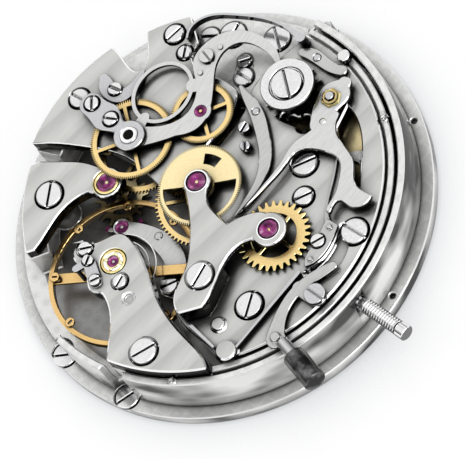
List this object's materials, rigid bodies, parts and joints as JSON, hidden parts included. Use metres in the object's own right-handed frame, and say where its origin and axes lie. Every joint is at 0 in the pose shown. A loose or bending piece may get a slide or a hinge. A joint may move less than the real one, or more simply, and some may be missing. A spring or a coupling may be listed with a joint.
{
  "type": "mechanical watch movement",
  "caption": "Hand-wound chronograph movement with bridges, going train, balance, column wheel, clutch and reset levers, seen from the bridge side.",
  "frame": {"origin": "centre of the movement on its dial-side face", "axes": "+Z from the dial side to the bridges, +X along the winding stem towards the crown"},
  "size_m": [0.0334, 0.03, 0.0065],
  "materials": {
    "balance_gold": "coppery gold",
    "blue_spring": "spring steel",
    "bridge_metal": "satin with straight stripes",
    "dark_steel": "dark steel",
    "date_white": "white, bare",
    "gold": "light gold wheels",
    "lever_steel": "brushed steel with bright edges",
    "plate_metal": "satin rhodium-plated brass",
    "polished_steel": "black polished steel",
    "ruby": "synthetic ruby",
    "screw_steel": "polished steel"
  },
  "bodies": {
    "frame": {"calendar_plate": "plate_metal", "main_plate": "plate_metal", "barrel_bridge": "bridge_metal", "train_bridge": "bridge_metal", "escape_bridge": "bridge_metal", "balance_cock": "bridge_metal", "pallet_bridge": "bridge_metal", "chronograph_bridge": "bridge_metal", "driving_wheel_cock": "polished_steel", "bridge_jewels": "ruby", "jewel_chatons": "gold", "large_screws": "screw_steel", "medium_screws": "screw_steel", "small_screws": "screw_steel", "dog_screws": "screw_steel", "stud_holder": "polished_steel", "hairspring": "blue_spring", "click_spring": "lever_steel", "lever_studs": "polished_steel", "column_wheel_cap": "polished_steel", "minute_jumper": "lever_steel", "blade_springs": "lever_steel"},
    "fourth": {"fourth_wheel": "gold", "driving_wheel": "gold"},
    "centre": {"centre_wheel": "gold", "cannon_pinion": "lever_steel"},
    "third": {"third_wheel": "gold"},
    "escape": {"escape_wheel": "lever_steel"},
    "barrel": {"barrel": "gold", "mainspring": "blue_spring"},
    "ratchet": {"ratchet_wheel": "lever_steel", "barrel_arbor": "lever_steel"},
    "crown": {"crown_wheel": "lever_steel"},
    "click": {"click": "lever_steel"},
    "pallet": {"pallet_fork": "lever_steel", "pallet_stones": "ruby"},
    "balance": {"balance_wheel": "balance_gold", "balance_weights": "balance_gold", "balance_staff": "lever_steel"},
    "hour": {"hour_wheel": "gold"},
    "minute_works": {"minute_works_wheel": "gold"},
    "date": {"date_ring": "date_white"},
    "clutch": {"clutch_lever": "lever_steel", "clutch_jewel": "ruby"},
    "coupling": {"coupling_wheel": "gold"},
    "runner": {"chronograph_runner": "gold", "runner_heart": "lever_steel"},
    "minute_counter": {"minute_wheel": "gold", "minute_heart": "lever_steel"},
    "brake": {"brake_lever": "lever_steel"},
    "hammer": {"reset_hammer": "lever_steel", "hammer_bush": "gold"},
    "start": {"start_lever": "lever_steel"},
    "operating": {"operating_lever": "lever_steel", "pusher_stud": "dark_steel"},
    "column": {"column_wheel": "lever_steel"},
    "winding": {"winding_pinion": "lever_steel", "sliding_pinion": "lever_steel"},
    "stem": {"winding_stem": "polished_steel"},
    "setting": {"setting_lever": "lever_steel"}
  },
  "joints": [
    {"name": "fourth_turn", "type": "hinge", "parent": "frame", "child": "fourth", "pos_m": [-0.0065, 0, 0.00525], "axis": [0, 0, 1], "continuous": true},
    {"name": "centre_turn", "type": "hinge", "parent": "frame", "child": "centre", "pos_m": [0, 0, 0.00365], "axis": [0, 0, 1], "continuous": true},
    {"name": "third_turn", "type": "hinge", "parent": "frame", "child": "third", "pos_m": [-0.00366, 0.00196, 0.00195], "axis": [0, 0, 1], "continuous": true},
    {"name": "escape_turn", "type": "hinge", "parent": "frame", "child": "escape", "pos_m": [-0.00615, -0.00335, 0.00195], "axis": [0, 0, 1], "continuous": true},
    {"name": "barrel_turn", "type": "hinge", "parent": "frame", "child": "barrel", "pos_m": [0.00371, 0.00522, 0.00235], "axis": [0, 0, 1], "continuous": true},
    {"name": "ratchet_turn", "type": "hinge", "parent": "frame", "child": "ratchet", "pos_m": [0.00371, 0.00522, 0.00365], "axis": [0, 0, 1], "continuous": true},
    {"name": "crown_wheel_turn", "type": "hinge", "parent": "frame", "child": "crown", "pos_m": [0.00793, 0.00293, 0.00365], "axis": [0, 0, 1], "continuous": true},
    {"name": "click_turn", "type": "hinge", "parent": "frame", "child": "click", "pos_m": [0.0078, 0.0079, 0.00365], "axis": [0, 0, 1], "range_deg": [-2, 3]},
    {"name": "pallet_turn", "type": "hinge", "parent": "frame", "child": "pallet", "pos_m": [-0.00446, -0.00491, 0.00195], "axis": [0, 0, 1], "range_deg": [-5, 5]},
    {"name": "balance_turn", "type": "hinge", "parent": "frame", "child": "balance", "pos_m": [-0.00165, -0.0075, 0.00295], "axis": [0, 0, 1], "range_deg": [-270, 270]},
    {"name": "hour_turn", "type": "hinge", "parent": "frame", "child": "hour", "pos_m": [0, 0, 0.00042], "axis": [0, 0, 1], "continuous": true},
    {"name": "minute_works_turn", "type": "hinge", "parent": "frame", "child": "minute_works", "pos_m": [-0.00244, -0.00089, 0.00042], "axis": [0, 0, 1], "continuous": true},
    {"name": "date_turn", "type": "hinge", "parent": "frame", "child": "date", "pos_m": [0, 0, 0.00005], "axis": [0, 0, 1], "continuous": true},
    {"name": "clutch_turn", "type": "hinge", "parent": "frame", "child": "clutch", "pos_m": [-0.0065, 0, 0.00548], "axis": [0, 0, 1], "range_deg": [-3, 0]},
    {"name": "coupling_turn", "type": "hinge", "parent": "clutch", "child": "coupling", "pos_m": [-0.00346, 0.00415, 0.00525], "axis": [0, 0, 1], "continuous": true},
    {"name": "runner_turn", "type": "hinge", "parent": "frame", "child": "runner", "pos_m": [0, 0, 0.00525], "axis": [0, 0, 1], "continuous": true},
    {"name": "minute_counter_turn", "type": "hinge", "parent": "frame", "child": "minute_counter", "pos_m": [0.0067, 0.00012, 0.0048], "axis": [0, 0, 1], "continuous": true},
    {"name": "brake_turn", "type": "hinge", "parent": "frame", "child": "brake", "pos_m": [-0.0005, 0.00635, 0.00475], "axis": [0, 0, 1], "range_deg": [-2, 0]},
    {"name": "hammer_turn", "type": "hinge", "parent": "frame", "child": "hammer", "pos_m": [0.00372, 0.00987, 0.00505], "axis": [0, 0, 1], "range_deg": [-2.5, 0]},
    {"name": "start_turn", "type": "hinge", "parent": "frame", "child": "start", "pos_m": [0.0006, 0.0117, 0.00475], "axis": [0, 0, 1], "range_deg": [0, 3]},
    {"name": "operating_turn", "type": "hinge", "parent": "frame", "child": "operating", "pos_m": [0.0122, -0.0016, 0.00475], "axis": [0, 0, 1], "range_deg": [-4, 0]},
    {"name": "column_turn", "type": "hinge", "parent": "frame", "child": "column", "pos_m": [0.00085, 0.00885, 0.00475], "axis": [0, 0, 1], "continuous": true},
    {"name": "winding_turn", "type": "hinge", "parent": "frame", "child": "winding", "pos_m": [0.0067, 0, 0.0033], "axis": [1, 0, 0], "continuous": true},
    {"name": "stem_pull", "type": "slide", "parent": "winding", "child": "stem", "axis": [1, 0, 0], "range_m": [0, 0.0006]},
    {"name": "setting_turn", "type": "hinge", "parent": "frame", "child": "setting", "pos_m": [0.0103, -0.0017, 0.00315], "axis": [0, 0, 1], "range_deg": [-30, 0]}
  ],
  "couplings": [
    {"joint": "centre_turn", "follows": "fourth_turn", "ratio": 0.016667},
    {"joint": "third_turn", "follows": "fourth_turn", "ratio": -0.13333},
    {"joint": "escape_turn", "follows": "fourth_turn", "ratio": -10},
    {"joint": "barrel_turn", "follows": "fourth_turn", "ratio": -0.002381},
    {"joint": "coupling_turn", "follows": "fourth_turn", "ratio": -1.3333},
    {"joint": "hour_turn", "follows": "fourth_turn", "ratio": 0.0013889},
    {"joint": "minute_works_turn", "follows": "fourth_turn", "ratio": -0.0055556},
    {"joint": "crown_wheel_turn", "follows": "winding_turn", "ratio": -0.4},
    {"joint": "ratchet_turn", "follows": "winding_turn", "ratio": 0.4},
    {"joint": "setting_turn", "follows": "stem_pull", "rad_per_m": -814.49}
  ]
}
